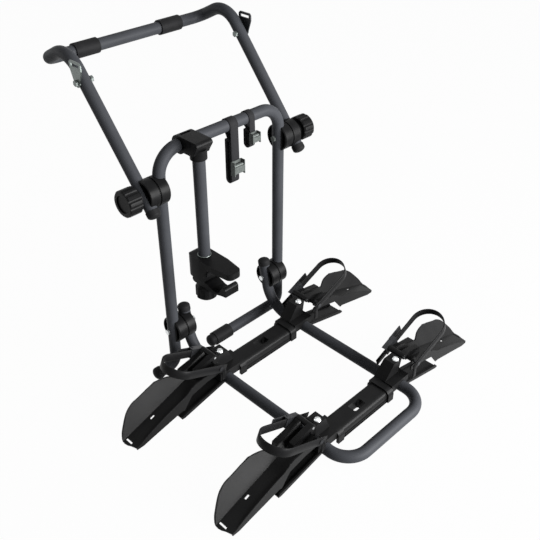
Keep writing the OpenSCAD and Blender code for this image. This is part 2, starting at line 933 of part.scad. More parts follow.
module cam_lever(x, z, w, h) {
    y = -web_front - web_t - gap - buckle_t / 2;
    pin_z = z - h / 3;
    inner = w - 2 * buckle_plate - 2 * gap;
    across(x, y, pin_z, pin_r, w + gap);
    across(x, y, pin_z, buckle_t / 2 - buckle_plate - gap, inner);
    translate([x - inner / 2, y - buckle_t / 2, pin_z - h / 2])
        cube([inner, buckle_t / 2, h / 2]);
}

module buckle_long() {
    color(zinc) centred()
        cam_buckle(long_x, long_buckle_z, buckle_w, buckle_h);
}

module buckle_short() {
    color(zinc) centred()
        cam_buckle(short_x, short_buckle_z, short_buckle_w, short_buckle_h);
}

module buckle_lever_long() {
    color(zinc) centred()
        cam_lever(long_x, long_buckle_z, buckle_w, buckle_h);
}

module buckle_lever_short() {
    color(zinc) centred()
        cam_lever(short_x, short_buckle_z, short_buckle_w, short_buckle_h);
}

// Anchor plates

// Plate on the outer face of the right arm, with an eye for its bolt and a slot for webbing
module anchor_plate() {
    top_r = window_round;
    half = anchor_top_w / 2 - top_r;
    translate([arch_x + tube_r + gap, anchor_at[0], anchor_at[1]])
        rotate([90, 0, 90])
            linear_extrude(anchor_t)
                difference() {
                    union() {
                        circle(r = anchor_eye_r);
                        polygon([
                            [-anchor_eye_r, 0], [anchor_eye_r, 0], [anchor_top_w / 2, anchor_shoulder],
                            [anchor_top_w / 2, anchor_h], [half, anchor_h + top_r],
                            [-half, anchor_h + top_r], [-anchor_top_w / 2, anchor_h],
                            [-anchor_top_w / 2, anchor_shoulder]
                        ]);
                    }
                    circle(r = bolt_d / 2 + fit);
                    translate([-anchor_slot_l / 2, anchor_slot_rise - anchor_slot_w])
                        square([anchor_slot_l, anchor_slot_w]);
                }
}

module anchor_plate_right() {
    color(dark_grey) centred()
        anchor_plate();
}

module anchor_plate_left() {
    color(zinc) centred()
        mirror([1, 0, 0])
            anchor_plate();
}

module anchor_bolts() {
    start = arch_x - tube_r;
    end = arch_x + tube_r + anchor_t + 2 * gap;
    color(silver) centred()
        both_sides() {
            hexagon_x(end, anchor_at[0], anchor_at[1], head_w, head_h);
            across((start + end) / 2, anchor_at[0], anchor_at[1], bolt_d / 2, end - start);
            hexagon_x(start - nut_h, anchor_at[0], anchor_at[1], head_w, nut_h);
        }
}

// Trays

// Cross section of the channel, in Y and Z, grown outward by a clearance or a wall
module channel_section(grow) {
    half = channel_w / 2 + grow;
    r = shoulder_r + grow;
    top = channel_top_z + grow;
    polygon(concat(
        [[half, channel_bottom_z]],
        arc([half - r, top - r], r, 0, 90),
        arc([r - half, top - r], r, 90, 180),
        [[-half, channel_bottom_z]]
    ));
}

// Rounded window through the middle of the channel's top
module window_cut(grow) {
    l = window_l / 2 + grow - window_round;
    w = window_w / 2 + grow - window_round;
    translate([0, 0, channel_bottom_z])
        linear_extrude(channel_top_z)
            polygon(concat(
                arc([l, w], window_round, 0, 90, 4), arc([-l, w], window_round, 90, 180, 4),
                arc([-l, -w], window_round, 180, 270, 4), arc([l, -w], window_round, 270, 360, 4)
            ));
}

module channel() {
    side = channel_w / 2;
    difference() {
        union() {
            difference() {
                rotate([90, 0, 90])
                    translate([0, 0, -channel_end])
                        linear_extrude(2 * channel_end)
                            channel_section(0);
                rotate([90, 0, 90])
                    translate([0, -overrun, -channel_end - overrun])
                        linear_extrude(2 * (channel_end + overrun))
                            channel_section(-channel_wall);
            }
            intersection() {
                window_cut(window_frame);
                rotate([90, 0, 90])
                    translate([0, 0, -channel_end])
                        linear_extrude(2 * channel_end)
                            channel_section(0);
            }
            for (z = [channel_bottom_z, channel_bottom_z + 2 * lip_h])
                for (y = [-side - lip, side - channel_wall / 2])
                    translate([-ring_in + gap, y, z])
                        cube([2 * (ring_in - gap), lip + channel_wall / 2, lip_h / 2]);
        }
        translate([0, 0, -overrun])
            window_cut(0);
    }
}

module tray_channel_near() {
    color(black) centred()
        translate([0, tray_ys[0], 0])
            channel();
}

module tray_channel_outer() {
    color(black) centred()
        translate([0, tray_ys[1], 0])
            channel();
}

// Side outline of the housing over the platform tube, in X and Z
module housing_outline() {
    polygon([
        [ring_in, base_bottom_z], [ring_in, channel_top_z + ring_wall], [ring_out, channel_top_z + ring_wall],
        [plateau_in, plateau_z], [plateau_out, plateau_z], [plateau_out, leg_in_top], [hinge_x, leg_in_top],
        [hinge_x, leg_in_bottom], [plateau_out, platform_z], [ring_out, platform_z], [ring_out, base_bottom_z]
    ]);
}

// Side outline of the leg's walls, which slope down to the floor
module leg_outline() {
    polygon([
        [plateau_out, leg_in_bottom], [plateau_out, leg_in_top], [leg_tip - leg_rim / 2, leg_rim],
        [leg_tip, leg_rim / 2], [leg_tip, 0], [leg_tip - leg_rim, 0]
    ]);
}

// Slab in X and Z, between two places along Y
module side_slab(ys) {
    translate([0, ys[1], 0])
        rotate([90, 0, 0])
            linear_extrude(ys[1] - ys[0])
                children();
}

// Round bar along Y between two places, at a place in X and Z
module along_y(x, z, r, ys) {
    translate([x, ys[1], z])
        rotate([90, 0, 0])
            cylinder(h = ys[1] - ys[0], r = r);
}

module tray_base() {
    wide = [-2 * channel_w, 2 * channel_w];
    near = channel_w / 2 + ring_wall;
    difference() {
        union() {
            intersection() {
                side_slab([-near, near])
                    housing_outline();
                rotate([90, 0, 90])
                    linear_extrude(2 * hinge_x)
                        polygon([
                            [housing_ys[0], 0], [housing_ys[0], ledge_top_z - leg_wall],
                            [housing_ys[1], plateau_z + overrun], [housing_ys[2], plateau_z + overrun],
                            [housing_ys[3], ledge_top_z], [housing_ys[3], 0]
                        ]);
            }
            rotate([90, 0, 90])
                translate([0, 0, ring_in])
                    linear_extrude(ring_out - ring_in)
                        channel_section(ring_wall);
            translate([ring_out, ledge_near - leg_wall, platform_z])
                cube([hinge_x - ring_out, near, ledge_top_z - platform_z]);
            for (ys = [[leg_near, leg_near + leg_wall], [leg_far - leg_wall, leg_far]])
                side_slab(ys)
                    leg_outline();
            intersection() {
                side_slab([leg_near, leg_far])
                    leg_outline();
                translate([plateau_out, -near, leg_in_bottom - leg_wall])
                    rotate([0, atan2(leg_in_bottom, leg_tip - leg_rim - plateau_out), 0])
                        cube([leg_tip, 2 * near, leg_wall + channel_wall]);
            }
        }
        rotate([90, 0, 90])
            translate([0, 0, ring_in - overrun])
                linear_extrude(channel_end - ring_in + overrun + gap)
                    union() {
                        channel_section(fit);
                        translate([-channel_w / 2 - fit, 0])
                            square([channel_w + 2 * fit, channel_bottom_z + overrun]);
                    }
        along_y(platform_x, platform_z, tube_r + fit, wide);
        translate([platform_x - tube_r - fit, wide[0], -overrun])
            cube([tube_d + 2 * fit, wide[1] - wide[0], platform_z + overrun]);
        translate([bolt_x, 0, 0])
            cylinder(h = 2 * plateau_z, r = bolt_d / 2 + fit);
    }
    difference() {
        union() {
            along_y(hinge_x, hinge_z, hinge_r, knuckle);
            translate([plateau_out - overrun, knuckle[0], hinge_z - hinge_r])
                cube([hinge_x - plateau_out + overrun, knuckle[1] - knuckle[0], hinge_r]);
        }
        along_y(hinge_x, hinge_z, pin_r + fit, wide);
    }
}

module tray_base_near_left() {
    color(black) centred()
        tray_side(0, -1)
            tray_base();
}

module tray_base_near_right() {
    color(black) centred()
        tray_side(0, 1)
            tray_base();
}

module tray_base_outer_left() {
    color(black) centred()
        tray_side(1, -1)
            tray_base();
}

module tray_base_outer_right() {
    color(black) centred()
        tray_side(1, 1)
            tray_base();
}

module tray_bolt() {
    nut_top = platform_z - tube_r;
    translate([bolt_x, 0, nut_top - nut_h]) {
        cylinder(h = plateau_z - nut_top + nut_h, r = bolt_d / 2);
        cylinder(h = nut_h, r = head_w / 2 / cos(30), $fn = 6);
    }
    translate([bolt_x, 0, plateau_z])
        rotate_extrude()
            polygon(concat([[0, 0], [dome_r, 0]],
                [for (a = [10 : 16 : 90]) [dome_r * cos(a), dome_h * sin(a)]]));
}

module tray_bolts() {
    color(silver) centred()
        for (tray = [0, 1])
            for (side = side_names)
                tray_side(tray, side)
                    tray_bolt();
}

module scoop_hinge_pins() {
    color(silver) centred()
        for (tray = [0, 1])
            for (side = side_names)
                tray_side(tray, side)
                    along_y(hinge_x, hinge_z, pin_r, [near_rail[0] - gap, far_rail[1] + gap]);
}

// Cross section of the scoop's trough, in Y and in height over its floor line
module trough_section() {
    w = scoop_wall;
    polygon([
        [floor_near, 0], [floor_near, w], [floor_far - w / 2, w], [far_top[0] - w, far_top[1]],
        far_top, [floor_far + w / 2, 0]
    ]);
}

// Plan outline of the scoop, with its rounded tip
module scoop_plan() {
    tip = hinge_x + scoop_l - tip_round;
    polygon(concat(
        [[scoop_start, 2 * far_top[0]], [tip, 2 * far_top[0]]],
        arc([tip, floor_far / 2], tip_round, 80, -30),
        [[tip + tip_round * 3 / 4, floor_near], [scoop_start, floor_near]]
    ));
}

module scoop() {
    pin_z = ratchet_z + strap_pin_at * sin(ratchet_tilt);
    pin_x = ratchet_x + strap_pin_at * cos(ratchet_tilt);
    wide = [-2 * channel_w, 2 * channel_w];
    difference() {
        union() {
            intersection() {
                translate([hinge_x, 0, floor_z0])
                    rotate([0, scoop_slope, 0])
                        rotate([90, 0, 90])
                            linear_extrude(2 * scoop_l)
                                trough_section();
                linear_extrude(2 * hinge_z)
                    scoop_plan();
                side_slab(wide)
                    polygon(concat([[scoop_start, 0]], scoop_points(far_wall_shares)));
            }
            side_slab([floor_near, floor_near + scoop_wall]) {
                polygon(scoop_points(near_wall_shares));
                translate([pin_x, pin_z])
                    circle(r = 2 * strap_pin_r + scoop_wall);
            }
            side_slab(near_rail)
                polygon(scoop_points(near_rail_shares));
            side_slab(far_rail)
                polygon(scoop_points(far_rail_shares));
            for (ys = [near_rail, far_rail])
                along_y(hinge_x, hinge_z, hinge_r, ys);
        }
        translate([tip_slot_x, -tip_slot[0] / 2, -overrun])
            cube([tip_slot[1], tip_slot[0], hinge_z]);
        translate([hole_x, 0, -overrun])
            cube([hole_side, hole_side / 2, hinge_z]);
        along_y(hinge_x, hinge_z, pin_r + fit, wide);
        along_y(pin_x, pin_z, strap_pin_r + fit, wide);
    }
}

module scoop_near_left() {
    color(black) centred()
        tray_side(0, -1)
            scoop();
}

module scoop_near_right() {
    color(black) centred()
        tray_side(0, 1)
            scoop();
}

module scoop_outer_left() {
    color(black) centred()
        tray_side(1, -1)
            scoop();
}

module scoop_outer_right() {
    color(black) centred()
        tray_side(1, 1)
            scoop();
}

// Ratchet straps

// Puts its children on the tilted plane of the strap loop, with Z square to it
module loop_plane() {
    translate([ratchet_x, 0, ratchet_z])
        rotate([0, -ratchet_tilt, 0])
            children();
}

// Flat band in the loop plane, centred on its width
module loop_band(w) {
    loop_plane()
        translate([0, 0, -w / 2])
            linear_extrude(w)
                children();
}

module ratchet_strap() {
    inner = ratchet_r - ratchet_t;
    difference() {
        union() {
            loop_band(ratchet_w)
                polygon(concat(
                    [[0, -inner], [0, -ratchet_r]],
                    arc([ratchet_run, 0], ratchet_r, -90, 90, 24),
                    [[-tail_l, ratchet_r], [-tail_l, inner]],
                    arc([ratchet_run, 0], inner, 90, -90, 24)
                ));
            translate([ratchet_x, fit / 2 - ratchet_r, ratchet_z - hanging_l + ratchet_w / 2])
                cube([hanging_w, ratchet_t - fit, hanging_l]);
        }
        loop_plane()
            translate([strap_pin_at, 0, 0])
                rotate([90, 0, 0])
                    cylinder(h = 4 * ratchet_r, r = strap_pin_r + fit, center = true);
    }
}

// Rivets through both ends of the strap, and an open frame on the far one for the lever
module ratchet_buckle() {
    inner = ratchet_r - ratchet_t;
    half = ratchet_w / 2 + gap;
    from = inner - gap - ratchet_plate;
    loop_plane() {
        difference() {
            union() {
                translate([0, from, -half])
                    cube([ratchet_l, ratchet_plate, 2 * half]);
                for (w = [-half - ratchet_plate, half])
                    translate([0, from, w])
                        cube([ratchet_l, ratchet_cheek, ratchet_plate]);
            }
            translate([spindle_at, ratchet_r + spindle_rise, 0])
                cylinder(h = 4 * half, r = pin_r + fit, center = true);
        }
        translate([strap_pin_at, ratchet_r + gap + ratchet_plate, 0])
            rotate([90, 0, 0])
                cylinder(h = ratchet_r - far_rail[0], r = strap_pin_r);
        translate([strap_pin_at, floor_near + scoop_wall, 0])
            rotate([90, 0, 0])
                cylinder(h = ratchet_r + floor_near + scoop_wall + gap + ratchet_plate, r = strap_pin_r);
        for (y = [ratchet_r + gap + ratchet_plate, -ratchet_r - gap])
            translate([strap_pin_at, y, 0])
                rotate([90, 0, 0])
                    cylinder(h = ratchet_plate, r = strap_head_r);
    }
}

module ratchet_lever() {
    loop_plane()
        translate([spindle_at, ratchet_r + spindle_rise, 0]) {
            cylinder(h = ratchet_w + 4 * ratchet_plate, r = pin_r, center = true);
            cylinder(h = lever_w, r = spindle_r, center = true);
            translate([0, spindle_r - ratchet_t, -lever_w / 2])
                cube([lever_l, ratchet_t, lever_w]);
        }
}

module ratchet_strap_near_left() {
    color(black) centred()
        tray_side(0, -1)
            ratchet_strap();
}

module ratchet_strap_near_right() {
    color(black) centred()
        tray_side(0, 1)
            ratchet_strap();
}

module ratchet_strap_outer_left() {
    color(black) centred()
        tray_side(1, -1)
            ratchet_strap();
}

module ratchet_strap_outer_right() {
    color(black) centred()
        tray_side(1, 1)
            ratchet_strap();
}

module ratchet_buckle_near_left() {
    color(silver) centred()
        tray_side(0, -1)
            ratchet_buckle();
}

module ratchet_buckle_near_right() {
    color(silver) centred()
        tray_side(0, 1)
            ratchet_buckle();
}

module ratchet_buckle_outer_left() {
    color(silver) centred()
        tray_side(1, -1)
            ratchet_buckle();
}

module ratchet_buckle_outer_right() {
    color(silver) centred()
        tray_side(1, 1)
            ratchet_buckle();
}

module ratchet_lever_near_left() {
    color(silver) centred()
        tray_side(0, -1)
            ratchet_lever();
}

module ratchet_lever_near_right() {
    color(silver) centred()
        tray_side(0, 1)
            ratchet_lever();
}

module ratchet_lever_outer_left() {
    color(silver) centred()
        tray_side(1, -1)
            ratchet_lever();
}

module ratchet_lever_outer_right() {
    color(silver) centred()
        tray_side(1, 1)
            ratchet_lever();
}

main_frame_tube();
foot_sleeve();
frame_end_caps();
arch_tube();
arch_sleeves();
arch_end_caps();
platform_tube();
platform_end_caps();
upper_joint_frame_halves();
upper_joint_arch_halves();
lower_joint_frame_halves();
lower_joint_platform_halves();
upper_pivot_bolts();
lower_pivot_bolts();
knob_left();
knob_right();
arm_bracket();
arm_tube();
clamp_upper_jaw();
clamp_pad();
clamp_lower_jaw();
clamp_screw();
clamp_knob();
strap_long();
strap_short();
buckle_long();
buckle_short();
buckle_lever_long();
buckle_lever_short();
anchor_plate_left();
anchor_plate_right();
anchor_bolts();
tray_channel_near();
tray_channel_outer();
tray_base_near_left();
tray_base_near_right();
tray_base_outer_left();
tray_base_outer_right();
scoop_near_left();
scoop_near_right();
scoop_outer_left();
scoop_outer_right();
scoop_hinge_pins();
tray_bolts();
ratchet_strap_near_left();
ratchet_strap_near_right();
ratchet_strap_outer_left();
ratchet_strap_outer_right();
ratchet_buckle_near_left();
ratchet_buckle_near_right();
ratchet_buckle_outer_left();
ratchet_buckle_outer_right();
ratchet_lever_near_left();
ratchet_lever_near_right();
ratchet_lever_outer_left();
ratchet_lever_outer_right();
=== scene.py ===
import math

import bmesh
import bpy
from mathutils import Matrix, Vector


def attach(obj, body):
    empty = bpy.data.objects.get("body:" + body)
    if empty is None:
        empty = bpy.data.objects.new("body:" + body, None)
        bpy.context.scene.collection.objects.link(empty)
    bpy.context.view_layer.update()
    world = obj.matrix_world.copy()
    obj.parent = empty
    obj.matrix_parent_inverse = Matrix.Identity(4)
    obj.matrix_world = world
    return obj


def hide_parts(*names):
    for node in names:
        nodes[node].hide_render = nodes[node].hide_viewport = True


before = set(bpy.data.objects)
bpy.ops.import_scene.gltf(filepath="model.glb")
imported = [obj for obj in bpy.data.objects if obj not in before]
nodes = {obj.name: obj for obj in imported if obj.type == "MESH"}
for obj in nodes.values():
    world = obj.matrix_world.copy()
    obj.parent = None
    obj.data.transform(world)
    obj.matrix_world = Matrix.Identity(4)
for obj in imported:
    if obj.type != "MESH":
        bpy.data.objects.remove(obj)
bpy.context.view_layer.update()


# Bent tubes: the main frame, the arch, the platform and the holding arm's drop tube.
# Steel tube 30 mm across, in a satin blue-grey powder coat with a very fine orange peel.
class Value:
    """One shader value. Arithmetic on it adds Math nodes to the same tree."""

    def __init__(self, tree, socket):
        self.tree = tree
        self.socket = socket

    def _math(self, operation, a, b):
        return node(self.tree, "Math", {"operation": operation}, {0: a, 1: b})

    def __add__(self, other):
        return self._math("ADD", self, other)

    def __mul__(self, other):
        return self._math("MULTIPLY", self, other)

    def __truediv__(self, other):
        return self._math("DIVIDE", self, other)

    def __rtruediv__(self, other):
        return self._math("DIVIDE", other, self)

    __radd__ = __add__
    __rmul__ = __mul__

    def span(self, low, high, out_low=0.0, out_high=1.0):
        """This value from low to high, spread over the two output values."""
        limits = {"From Min": low, "From Max": high, "To Min": out_low, "To Max": out_high}
        return node(self.tree, "MapRange", {}, {"Value": self, **limits})


def node(tree, kind, settings, sockets, output=0):
    """Adds a node, sets it, feeds its sockets and returns the output of this number or name."""
    made = tree.nodes.new("ShaderNode" + kind)
    for name, value in settings.items():
        setattr(made, name, value)
    for key, value in sockets.items():
        if isinstance(value, Value):
            tree.links.new(value.socket, made.inputs[key])
        else:
            made.inputs[key].default_value = value
    return Value(tree, made.outputs[output]) if made.outputs else made


def new_material(name):
    """An empty material and its tree."""
    material = bpy.data.materials.new(name)
    material.use_nodes = True
    material.node_tree.nodes.clear()
    return material, material.node_tree


def surface(tree, **sockets):
    """A Principled surface with these sockets, as the material's output."""
    named = {key.replace("_", " "): value for key, value in sockets.items()}
    made = node(tree, "BsdfPrincipled", {}, named)
    node(tree, "OutputMaterial", {}, {"Surface": made})


def noise(tree, where, per_metre, detail=2.0):
    """Noise from 0 to 1, with so many features in a metre."""
    sockets = {"Vector": where, "Scale": per_metre, "Detail": detail, "Roughness": 0.5}
    return node(tree, "TexNoise", {}, sockets)


def vary(pattern, low, high):
    """A value from low to high over the middle range of a noise, where most of it lies."""
    return pattern.span(0.3, 0.7, low, high)


def tint(tree, colour, shade):
    """A colour scaled by a varying shade."""
    return node(tree, "VectorMath", {"operation": "SCALE"}, {0: colour, "Scale": shade})


def bump(tree, height, depth, strength):
    """A normal from a height that runs from 0 to 1, with its depth in metres."""
    return node(tree, "Bump", {}, {"Height": height, "Distance": depth, "Strength": strength})


def paint(material, *names):
    """Gives CAD nodes this material in place of their own."""
    for name in names:
        slots = nodes[name].material_slots
        if not slots:
            nodes[name].data.materials.append(material)
        for held in slots:
            held.material = material


BLUE_GREY = (0.031, 0.0325, 0.0365)
coat, tree = new_material("powder_coat")
place = node(tree, "TexCoord", {}, {}, "Object")
peel = noise(tree, place, per_metre=900.0, detail=3.0)
cloud = noise(tree, place, per_metre=14.0)
surface(
    tree,
    Base_Color=tint(tree, BLUE_GREY, vary(cloud, 0.93, 1.07)),
    Roughness=vary(cloud, 0.44, 0.52),
    Normal=bump(tree, peel, depth=0.00005, strength=0.4),
    Specular_IOR_Level=0.06,
)
paint(coat, "main_frame_tube", "arch_tube", "platform_tube", "arm_tube")


# Rubber parts: caps moulded for the tube ends, sleeves pushed over the paint of the arch's bar
# and of the foot, and the pad in the clamp's throat. Black rubber with a fine even grain.
RUBBER_BLACK = (0.009, 0.009, 0.0095)
rubber, tree = new_material("rubber")
place = node(tree, "TexCoord", {}, {}, "Object")
grain = noise(tree, place, per_metre=1500.0, detail=3.0)
dust = noise(tree, place, per_metre=30.0, detail=4.0)
surface(
    tree,
    Base_Color=tint(tree, RUBBER_BLACK, vary(dust, 0.8, 1.3)),
    Roughness=vary(dust, 0.5, 0.62),
    Normal=bump(tree, grain, depth=0.00015, strength=0.5),
    Specular_IOR_Level=0.05,
)
paint(rubber, "foot_sleeve", "arch_sleeves", "clamp_pad")
paint(rubber, "frame_end_caps", "arch_end_caps", "platform_end_caps")


# Moulded joint halves, knobs, the arm's bracket and its clamp: glass-filled nylon, with a fine
# spark-eroded grain that catches the light on edges and tops.
NYLON_BLACK = (0.0045, 0.0045, 0.0047)
nylon, tree = new_material("black_nylon")
place = node(tree, "TexCoord", {}, {}, "Object")
grain = noise(tree, place, per_metre=1300.0)
wear = noise(tree, place, per_metre=45.0, detail=4.0)
surface(
    tree,
    Base_Color=tint(tree, NYLON_BLACK, vary(wear, 0.85, 1.2)),
    Roughness=vary(wear, 0.34, 0.42),
    Normal=bump(tree, grain, depth=0.00008, strength=0.45),
    Specular_IOR_Level=0.06,
)
paint(
    nylon,
    "upper_joint_frame_halves",
    "upper_joint_arch_halves",
    "lower_joint_frame_halves",
    "lower_joint_platform_halves",
    "knob_left",
    "knob_right",
    "arm_bracket",
    "clamp_upper_jaw",
    "clamp_lower_jaw",
    "clamp_knob",
)


# Wheel trays: two channels, four housings with sloping legs and four scoops, in injection-moulded
# black polypropylene that is smoother and a little glossier than the nylon.
# TRAYS holds the Y of each tray's centreline, and SIDES the sign of X on each side.
TRAYS = {"near": -0.0177, "outer": -0.3504}
SIDES = {"left": -1.0, "right": 1.0}
TRAY_BLACK = (0.007, 0.007, 0.0072)
plastic, tree = new_material("black_polypropylene")
place = node(tree, "TexCoord", {}, {}, "Object")
grain = noise(tree, place, per_metre=1100.0)
flow = noise(tree, place, per_metre=18.0, detail=4.0)
surface(
    tree,
    Base_Color=tint(tree, TRAY_BLACK, vary(flow, 0.85, 1.2)),
    Roughness=vary(flow, 0.3, 0.37),
    Normal=bump(tree, grain, depth=0.00006, strength=0.4),
    Specular_IOR_Level=0.06,
)
for tray in TRAYS:
    paint(plastic, f"tray_channel_{tray}")
    for side in SIDES:
        paint(plastic, f"tray_base_{tray}_{side}", f"scoop_{tray}_{side}")


# Fasteners: lower pivot bolts, dome-headed tray bolts, hinge pins and the clamp's screw.
# Bright zinc-plated steel with faint blotches from the plating.
BRIGHT = (0.72, 0.74, 0.74)
zinc, tree = new_material("bright_zinc")
place = node(tree, "TexCoord", {}, {}, "Object")
blotch = noise(tree, place, per_metre=220.0, detail=4.0)
surface(
    tree,
    Base_Color=tint(tree, BRIGHT, vary(blotch, 0.85, 1.05)),
    Roughness=vary(blotch, 0.2, 0.32),
    Normal=bump(tree, blotch, depth=0.00005, strength=0.3),
    Metallic=1.0,
)
paint(zinc, "lower_pivot_bolts", "clamp_screw", "scoop_hinge_pins", "tray_bolts")


# Duller steel: cam buckles and upper pivot bolts in grey zinc, the left anchor plate and both
# anchor bolts in dark grey-green zinc, and ratchets and right anchor plate blackened. The sheet
# parts are pressed, and all have the directionless mottling of barrel plating.
GREY_GREEN = (0.14, 0.157, 0.15)
BUCKLE_GREY = (0.08, 0.088, 0.084)
STEEL_BLACK = (0.03, 0.031, 0.034)


def plated(name, colour, rough, metallic, mirror=0.5):
    """Plated steel of this colour, with its roughness between the two values."""
    material, tree = new_material(name)
    place = node(tree, "TexCoord", {}, {}, "Object")
    mottle = noise(tree, place, per_metre=240.0, detail=5.0)
    surface(
        tree,
        Base_Color=tint(tree, colour, vary(mottle, 0.75, 1.15)),
        Roughness=vary(mottle, *rough),
        Normal=bump(tree, mottle, depth=0.00008, strength=0.4),
        Metallic=metallic,
        Specular_IOR_Level=mirror,
    )
    return material


plate = plated("dull_zinc", GREY_GREEN, rough=(0.3, 0.48), metallic=1.0)
buckle = plated("buckle_steel", BUCKLE_GREY, rough=(0.3, 0.45), metallic=0.25, mirror=0.06)
black_steel = plated("blackened_steel", STEEL_BLACK, rough=(0.32, 0.45), metallic=0.7)
paint(plate, "anchor_plate_left", "anchor_bolts")
paint(buckle, "buckle_long", "buckle_short", "buckle_lever_long", "buckle_lever_short")
paint(buckle, "upper_pivot_bolts")
paint(black_steel, "anchor_plate_right")
for tray in TRAYS:
    for side in SIDES:
        paint(black_steel, f"ratchet_buckle_{tray}_{side}", f"ratchet_lever_{tray}_{side}")


# Wheel straps: four flexible ladder straps that loop over a wheel in a plane tilted up outboard.
# Black polyamide 22 mm wide, moulded with fine cross teeth on the leg that runs into the ratchet;
# riveted through the scoop at both legs, with a tongue hanging from the near rivet.
LOOP_TILT = math.radians(23.5)
LOOP_START = (0.165, 0.092)
LOOP_R = 0.045
LOOP_RUN = 0.120
LOOP_TAIL = 0.038
LOOP_W = 0.022
LOOP_T = 0.0025
LOOP_EDGE = 0.0006
TONGUE_L = 0.044
TONGUE_W = 0.012
TONGUE_T = 0.0023
TONGUE_EDGE = 0.0005
TOOTH_HALF = 0.0012
TOOTH_DEPTH = 0.0006
TEETH_START = 0.23
TEETH_FULL = 0.26
STRAP_BLACK = (0.006, 0.006, 0.0063)


def straight(start, end, steps):
    """Points on a straight line, both of its ends included."""
    shares = [i / steps for i in range(steps + 1)]
    return [(start[0] + (end[0] - start[0]) * t, start[1] + (end[1] - start[1]) * t) for t in shares]


def arc(centre, radius, start, end, steps, squash=1.0):
    """Points on an arc, or on an ellipse that is squashed along its second axis."""
    angles = [math.radians(start + (end - start) * i / steps) for i in range(steps + 1)]
    rise = radius * squash
    return [(centre[0] + radius * math.cos(a), centre[1] + rise * math.sin(a)) for a in angles]


def sweep(shape, sections):
    """A closed body through these sections: each is extruded from the end face of the last.

    Its sides are smooth, and its ends, which have more than four corners, are flat.
    """
    ends = [shape.faces.new([shape.verts.new(point) for point in sections[0]])]
    for section in sections[1:]:
        grown = bmesh.ops.extrude_face_region(shape, geom=[ends[-1]])["geom"]
        ends += [item for item in grown if isinstance(item, bmesh.types.BMFace)]
        for vert, point in zip(ends[-1].verts, section):
            vert.co = point
    rings = [list(end.verts) for end in ends]
    bmesh.ops.delete(shape, geom=ends[1:-1], context="FACES_ONLY")
    for face in shape.faces:
        face.smooth = len(face.verts) == 4
    return rings


def ribbon(shape, line, width, thick, edge, place):
    """A flat band along a line, with softened edges and its length and width in its UV map."""
    uv = shape.loops.layers.uv.verify()
    half, deep = width / 2, thick / 2
    outline = [(-half, deep - edge), (edge - half, deep), (half - edge, deep), (half, deep - edge)]
    outline += [(-w, -n) for w, n in outline]
    sections = []
    for i, point in enumerate(line):
        before, after = line[max(i - 1, 0)], line[min(i + 1, len(line) - 1)]
        ahead = Vector((after[0] - before[0], after[1] - before[1])).normalized()
        section = [place(point[0] - ahead.y * n, point[1] + ahead.x * n, w) for w, n in outline]
        sections.append(section)
    run = 0.0
    for i, ring in enumerate(sweep(shape, sections)):
        if i:
            run += math.dist(line[i - 1], line[i])
        for vert, (w, _) in zip(ring, outline):
            for loop in vert.link_loops:
                if loop.face.smooth:
                    loop[uv].uv = (run, w)


def piece(name, shape, material, body, stands_for=()):
    """Turns the built shape into a piece that rides a body, in place of any CAD nodes named."""
    bmesh.ops.recalc_face_normals(shape, faces=shape.faces)
    mesh = bpy.data.meshes.new(name)
    shape.to_mesh(mesh)
    shape.free()
    mesh.materials.append(material)
    made = bpy.data.objects.new(name, mesh)
    bpy.context.scene.collection.objects.link(made)
    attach(made, body)
    if stands_for:
        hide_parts(*stands_for)


def ridges(tree, distance, half):
    """Even ridges, from 0 in a groove to 1 on a crest, with this distance from one to the other."""
    return node(tree, "Math", {"operation": "PINGPONG"}, {0: distance, 1: half}) / half


ladder, tree = new_material("ladder_strap")
place = node(tree, "TexCoord", {}, {}, "Object")
along = node(tree, "SeparateXYZ", {}, {"Vector": node(tree, "UVMap", {}, {})}, "X")
teeth = ridges(tree, along, TOOTH_HALF) * along.span(TEETH_START, TEETH_FULL)
fine = noise(tree, place, per_metre=1500.0)
surface(
    tree,
    Base_Color=tint(tree, STRAP_BLACK, vary(fine, 0.85, 1.15)),
    Roughness=vary(fine, 0.34, 0.42),
    Normal=bump(tree, teeth + fine * 0.1, TOOTH_DEPTH, strength=0.6),
    Specular_IOR_Level=0.06,
)
for tray, y in TRAYS.items():
    for side, k in SIDES.items():

        def on_loop(u, v, w):
            """Where a point lies that is u along the loop, v beside the tray and w over its width."""
            x = LOOP_START[0] + u * math.cos(LOOP_TILT) - w * math.sin(LOOP_TILT)
            z = LOOP_START[1] + u * math.sin(LOOP_TILT) + w * math.cos(LOOP_TILT)
            return Vector((k * x, y + v, z))

        def on_tongue(z, v, x):
            """Where a point of the hanging tongue lies, v beside the tray and x over its width."""
            return Vector((k * (LOOP_START[0] + TONGUE_W / 2 + x), y + v, z))

        r = LOOP_R - LOOP_T / 2
        shape = bmesh.new()
        leg = straight((0.0, -r), (LOOP_RUN, -r), 8)[:-1]
        bow = arc((LOOP_RUN, 0.0), r, -90.0, 90.0, 40)
        back = straight((LOOP_RUN, r), (-LOOP_TAIL, r), 10)[1:]
        ribbon(shape, leg + bow + back, LOOP_W, LOOP_T, LOOP_EDGE, on_loop)
        top = LOOP_START[1] + LOOP_W / 2
        tongue = straight((top, -r), (top - TONGUE_L, -r), 6)
        ribbon(shape, tongue, TONGUE_W, TONGUE_T, TONGUE_EDGE, on_tongue)
        own = f"{tray}_{side}"
        scoop = f"scoop_{own}"
        piece(f"ladder_strap_{own}", shape, ladder, scoop, [f"ratchet_strap_{own}"])


